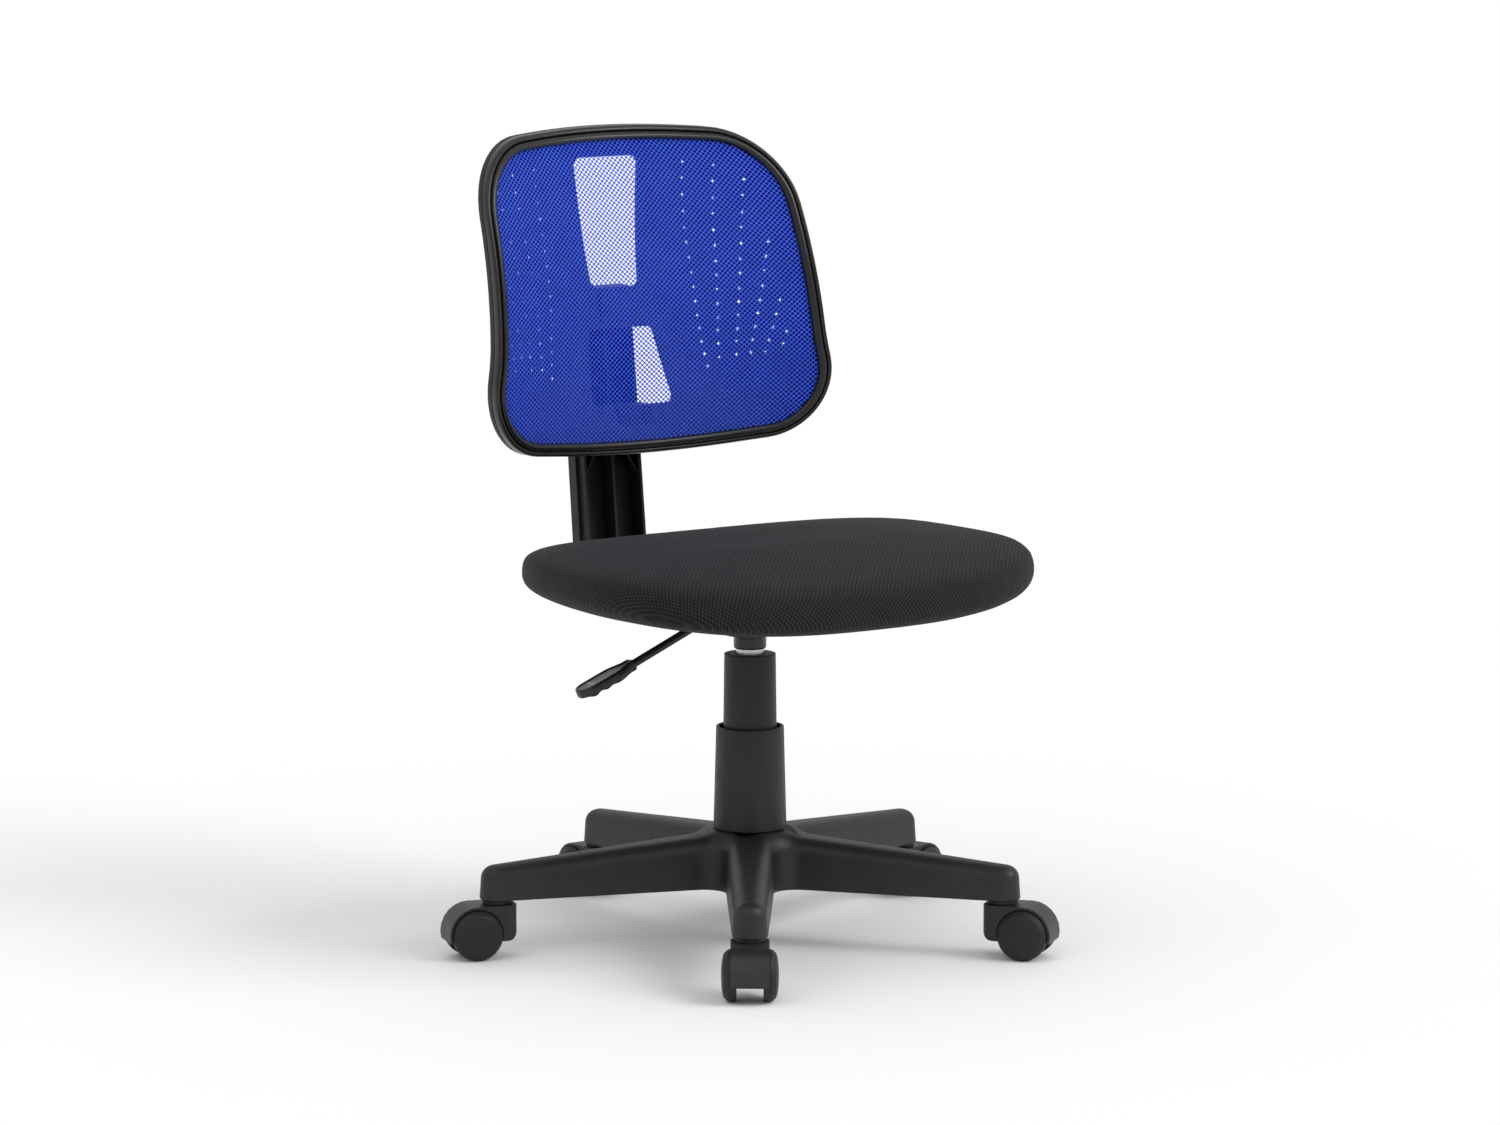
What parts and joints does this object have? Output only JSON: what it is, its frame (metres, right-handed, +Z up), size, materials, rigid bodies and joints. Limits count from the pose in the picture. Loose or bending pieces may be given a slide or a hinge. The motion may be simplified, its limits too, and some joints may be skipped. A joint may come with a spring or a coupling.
{
  "type": "swivel office chair",
  "caption": "Swivel task chair with a mesh back on an L-shaped bracket, a padded seat, gas-lift column and a five-leg castor base.",
  "frame": {"origin": "on the floor, under the middle of the chair's overall box; the lift column stands 3 mm to +X and 24 mm to -Y of it", "axes": "+Z up, the chair faces -Y, the sitter's left is +X"},
  "size_m": [0.6062, 0.5831, 0.7911],
  "materials": {
    "base_nylon": "fine moulded texture, soft sheen",
    "wheel_nylon": "moulded nylon",
    "hood_nylon": "moulded nylon, soft sheen",
    "cover_plastic": "matte polypropylene",
    "frame_plastic": "semi-matte black with a soft sheen",
    "shell_plastic": "black polypropylene",
    "black_painted_steel": "black powder coat",
    "bright_steel": "bright zinc or chrome",
    "black_rubber": "soft black rubber",
    "grey_acetal": "natural acetal",
    "seat_fabric": "black three-dimensional spacer mesh",
    "blue_mesh": "open blue polyester mesh",
    "plywood": "moulded plywood"
  },
  "bodies": {
    "base": {"star_base": "base_nylon", "stand_tube": "black_painted_steel", "guide_bush": "grey_acetal", "thrust_bearing": "bright_steel", "lower_column_cover": "cover_plastic", "upper_column_cover": "cover_plastic", "castor_stem_1": "wheel_nylon", "castor_stem_2": "wheel_nylon", "castor_stem_3": "wheel_nylon", "castor_stem_4": "wheel_nylon", "castor_stem_5": "wheel_nylon"},
    "lift_rod": {"piston_rod": "bright_steel", "piston": "grey_acetal", "bump_stop": "black_rubber", "retaining_clip": "bright_steel"},
    "seat": {"gas_cylinder": "bright_steel", "cylinder_guide": "grey_acetal", "cone_socket": "black_painted_steel", "lift_mechanism": "black_painted_steel", "lever_pivot_pin": "bright_steel", "seat_board": "plywood", "seat_cushion": "seat_fabric", "back_frame": "frame_plastic", "back_mesh": "blue_mesh", "back_shell": "shell_plastic", "back_bracket": "shell_plastic", "seat_screw_1": "bright_steel", "seat_screw_2": "bright_steel", "seat_screw_3": "bright_steel", "seat_screw_4": "bright_steel", "arm_screw_1": "bright_steel", "arm_screw_2": "bright_steel", "bracket_screw_1": "bright_steel", "bracket_screw_2": "bright_steel", "bracket_screw_3": "bright_steel"},
    "lever": {"lever_rod": "black_painted_steel", "lever_handle": "frame_plastic"},
    "release_button": {"release_pin": "bright_steel"},
    "castor_1": {"castor_hood_1": "hood_nylon", "castor_axle_1": "bright_steel"},
    "wheel_left_1": {"castor_wheel_left_1": "wheel_nylon"},
    "wheel_right_1": {"castor_wheel_right_1": "wheel_nylon"},
    "castor_2": {"castor_hood_2": "hood_nylon", "castor_axle_2": "bright_steel"},
    "wheel_left_2": {"castor_wheel_left_2": "wheel_nylon"},
    "wheel_right_2": {"castor_wheel_right_2": "wheel_nylon"},
    "castor_3": {"castor_hood_3": "hood_nylon", "castor_axle_3": "bright_steel"},
    "wheel_left_3": {"castor_wheel_left_3": "wheel_nylon"},
    "wheel_right_3": {"castor_wheel_right_3": "wheel_nylon"},
    "castor_4": {"castor_hood_4": "hood_nylon", "castor_axle_4": "bright_steel"},
    "wheel_left_4": {"castor_wheel_left_4": "wheel_nylon"},
    "wheel_right_4": {"castor_wheel_right_4": "wheel_nylon"},
    "castor_5": {"castor_hood_5": "hood_nylon", "castor_axle_5": "bright_steel"},
    "wheel_left_5": {"castor_wheel_left_5": "wheel_nylon"},
    "wheel_right_5": {"castor_wheel_right_5": "wheel_nylon"}
  },
  "joints": [
    {"name": "seat_swivel", "type": "hinge", "parent": "base", "child": "lift_rod", "pos_m": [0.00307, -0.02423, 0.055], "axis": [0, 0, 1], "continuous": true},
    {"name": "height_adjust", "type": "slide", "parent": "lift_rod", "child": "seat", "axis": [0, 0, 1], "range_m": [0, 0.09]},
    {"name": "lever_lift", "type": "hinge", "parent": "seat", "child": "lever", "pos_m": [-0.03693, -0.02423, 0.3313], "axis": [0, 1, 0], "range_deg": [0, 6], "stiffness_Nm_per_rad": 1},
    {"name": "release_press", "type": "slide", "parent": "seat", "child": "release_button", "axis": [0, 0, -1], "range_m": [0, 0.005], "stiffness_N_per_m": 200},
    {"name": "castor_swivel_1", "type": "hinge", "parent": "base", "child": "castor_1", "pos_m": [-0.14232, -0.23978, 0.045], "axis": [0, 0, 1], "continuous": true},
    {"name": "wheel_left_spin_1", "type": "hinge", "parent": "castor_1", "child": "wheel_left_1", "pos_m": [-0.15602, -0.26009, 0.025], "axis": [0.829, -0.5592, 0], "continuous": true},
    {"name": "wheel_right_spin_1", "type": "hinge", "parent": "castor_1", "child": "wheel_right_1", "pos_m": [-0.15602, -0.26009, 0.025], "axis": [0.829, -0.5592, 0], "continuous": true},
    {"name": "castor_swivel_2", "type": "hinge", "parent": "base", "child": "castor_2", "pos_m": [0.16314, -0.22912, 0.045], "axis": [0, 0, 1], "continuous": true},
    {"name": "wheel_left_spin_2", "type": "hinge", "parent": "castor_2", "child": "wheel_left_2", "pos_m": [0.17822, -0.24842, 0.025], "axis": [0.788, 0.6157, 0], "continuous": true},
    {"name": "wheel_right_spin_2", "type": "hinge", "parent": "castor_2", "child": "wheel_right_2", "pos_m": [0.17822, -0.24842, 0.025], "axis": [0.788, 0.6157, 0], "continuous": true},
    {"name": "castor_swivel_3", "type": "hinge", "parent": "base", "child": "castor_3", "pos_m": [0.24739, 0.06469, 0.045], "axis": [0, 0, 1], "continuous": true},
    {"name": "wheel_left_spin_3", "type": "hinge", "parent": "castor_3", "child": "wheel_left_3", "pos_m": [0.27041, 0.07307, 0.025], "axis": [-0.342, 0.9397, 0], "continuous": true},
    {"name": "wheel_right_spin_3", "type": "hinge", "parent": "castor_3", "child": "wheel_right_3", "pos_m": [0.27041, 0.07307, 0.025], "axis": [-0.342, 0.9397, 0], "continuous": true},
    {"name": "castor_swivel_4", "type": "hinge", "parent": "base", "child": "castor_4", "pos_m": [-0.00601, 0.23561, 0.045], "axis": [0, 0, 1], "continuous": true},
    {"name": "wheel_left_spin_4", "type": "hinge", "parent": "castor_4", "child": "wheel_left_4", "pos_m": [-0.00686, 0.26009, 0.025], "axis": [-0.9994, -0.0349, 0], "continuous": true},
    {"name": "wheel_right_spin_4", "type": "hinge", "parent": "castor_4", "child": "wheel_right_4", "pos_m": [-0.00686, 0.26009, 0.025], "axis": [-0.9994, -0.0349, 0], "continuous": true},
    {"name": "castor_swivel_5", "type": "hinge", "parent": "base", "child": "castor_5", "pos_m": [-0.24686, 0.04743, 0.045], "axis": [0, 0, 1], "continuous": true},
    {"name": "wheel_left_spin_5", "type": "hinge", "parent": "castor_5", "child": "wheel_left_5", "pos_m": [-0.27041, 0.05419, 0.025], "axis": [-0.2756, -0.9613, 0], "continuous": true},
    {"name": "wheel_right_spin_5", "type": "hinge", "parent": "castor_5", "child": "wheel_right_5", "pos_m": [-0.27041, 0.05419, 0.025], "axis": [-0.2756, -0.9613, 0], "continuous": true}
  ],
  "couplings": [
    {"joint": "release_press", "follows": "lever_lift", "m_per_rad": 0.0435}
  ]
}
